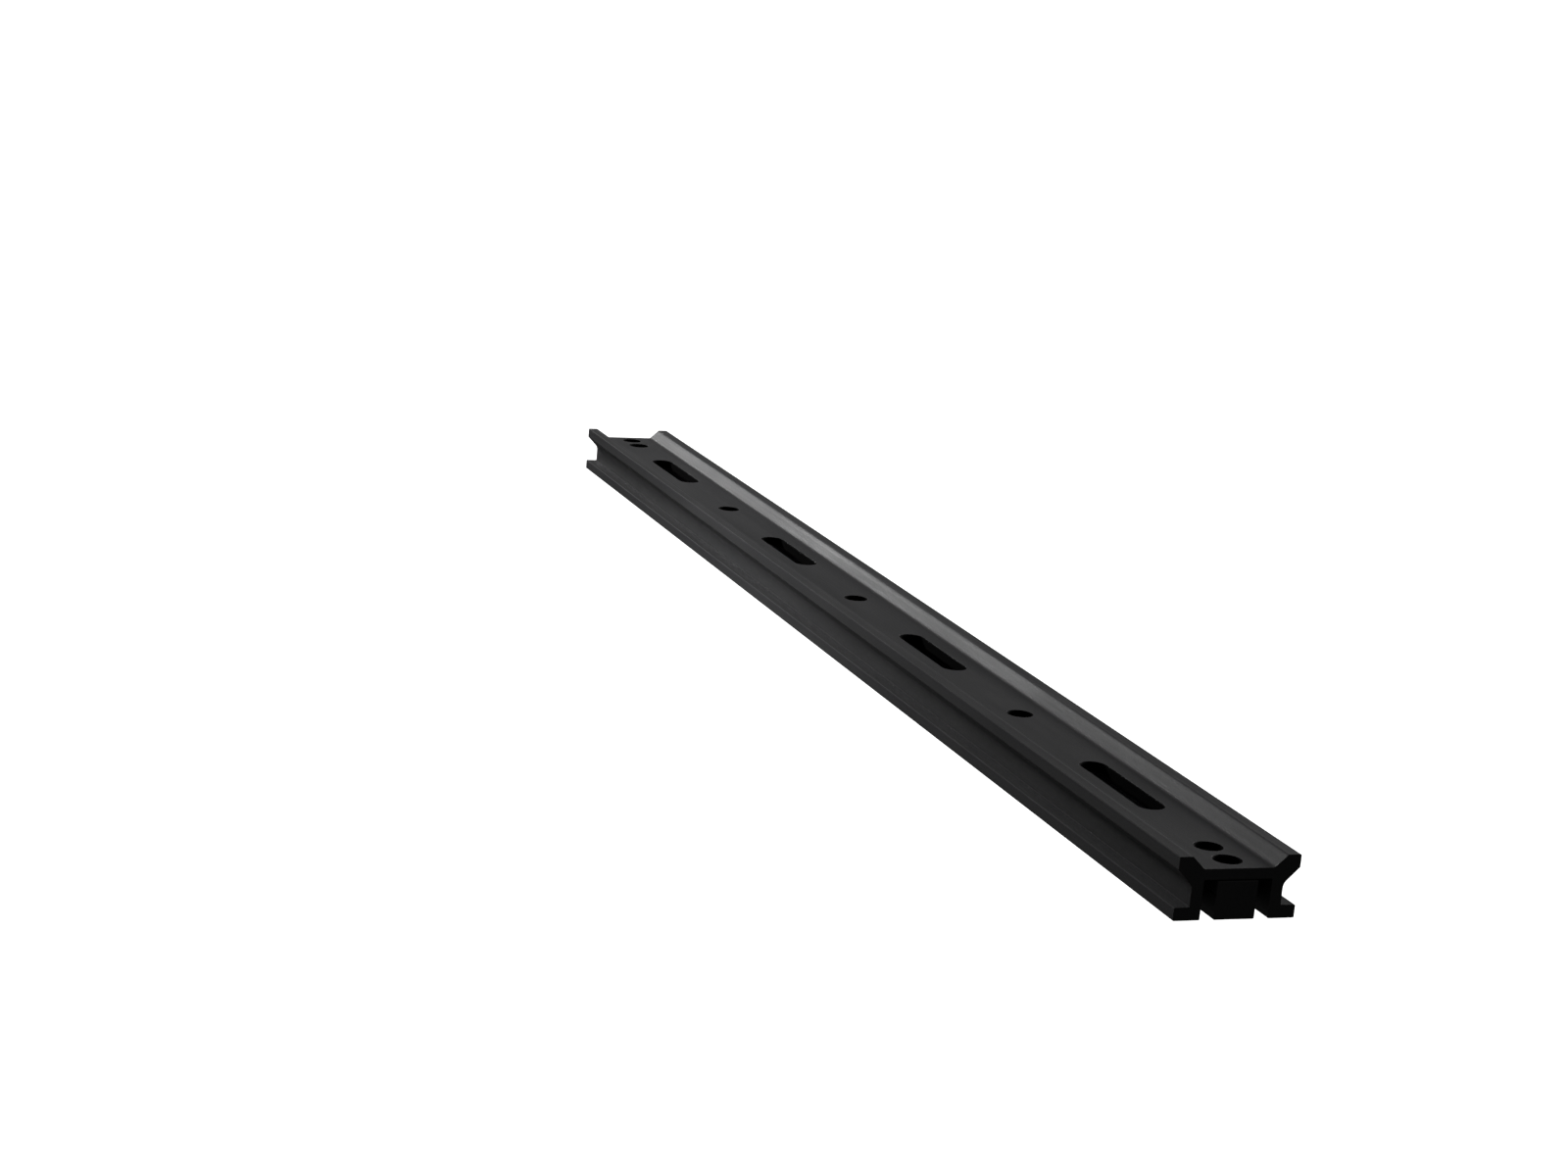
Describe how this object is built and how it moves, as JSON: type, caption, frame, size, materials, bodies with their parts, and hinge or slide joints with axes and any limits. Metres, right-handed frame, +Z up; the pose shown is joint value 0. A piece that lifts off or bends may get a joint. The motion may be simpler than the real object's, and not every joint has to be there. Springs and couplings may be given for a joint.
{
  "type": "cabinet drawer slide",
  "caption": "Closed ball-bearing drawer slide: slotted black aluminium cabinet rail around a sliding central bar, with ball cages, stops and a release lever.",
  "frame": {"origin": "middle of the underside of the closed slide", "axes": "+X along the slide towards its opening end, +Z up through the slotted web to the face that lies against the cabinet, +Y across"},
  "size_m": [0.5, 0.0306, 0.0151],
  "materials": {
    "black_anodised": "fine-blasted, black anodised, satin",
    "race_steel": "hardened and ground",
    "ball_steel": "polished bearing steel",
    "black_acetal": "moulded, matt",
    "black_rubber": "matt rubber",
    "black_zinc": "black zinc plated",
    "spring_steel": "bright spring steel"
  },
  "bodies": {
    "cabinet_member": {"cabinet_rail": "black_anodised", "cabinet_race_rods_left": "race_steel", "cabinet_race_rods_right": "race_steel", "front_stop": "black_acetal", "rear_stop": "black_acetal", "rear_bumper": "black_rubber"},
    "drawer_member": {"drawer_rail": "black_anodised", "drawer_race_rods_left": "race_steel", "drawer_race_rods_right": "race_steel", "nose_block": "black_anodised", "nose_screws": "black_zinc", "end_plate": "black_zinc", "end_plate_screws": "black_zinc", "lever_pivot_pin": "black_zinc", "lever_posts": "black_zinc", "lever_spring": "spring_steel"},
    "left_cage": {"ball_cage_left": "black_acetal", "balls_left": "ball_steel"},
    "right_cage": {"ball_cage_right": "black_acetal", "balls_right": "ball_steel"},
    "release_lever_body": {"release_lever": "black_zinc"}
  },
  "joints": [
    {"name": "drawer_slide", "type": "slide", "parent": "cabinet_member", "child": "drawer_member", "axis": [1, 0, 0], "range_m": [0, 0.35]},
    {"name": "left_cage_roll", "type": "slide", "parent": "cabinet_member", "child": "left_cage", "axis": [1, 0, 0], "range_m": [0, 0.175]},
    {"name": "right_cage_roll", "type": "slide", "parent": "cabinet_member", "child": "right_cage", "axis": [1, 0, 0], "range_m": [0, 0.175]},
    {"name": "release_lever_turn", "type": "hinge", "parent": "drawer_member", "child": "release_lever_body", "pos_m": [-0.105, 0, 0.0063], "axis": [0, 0, 1], "range_deg": [0, 12], "stiffness_Nm_per_rad": 0.03, "springref_deg": -8.59, "deforming": ["lever_spring"]}
  ],
  "couplings": [
    {"joint": "left_cage_roll", "follows": "drawer_slide", "ratio": 0.5},
    {"joint": "right_cage_roll", "follows": "drawer_slide", "ratio": 0.5}
  ]
}
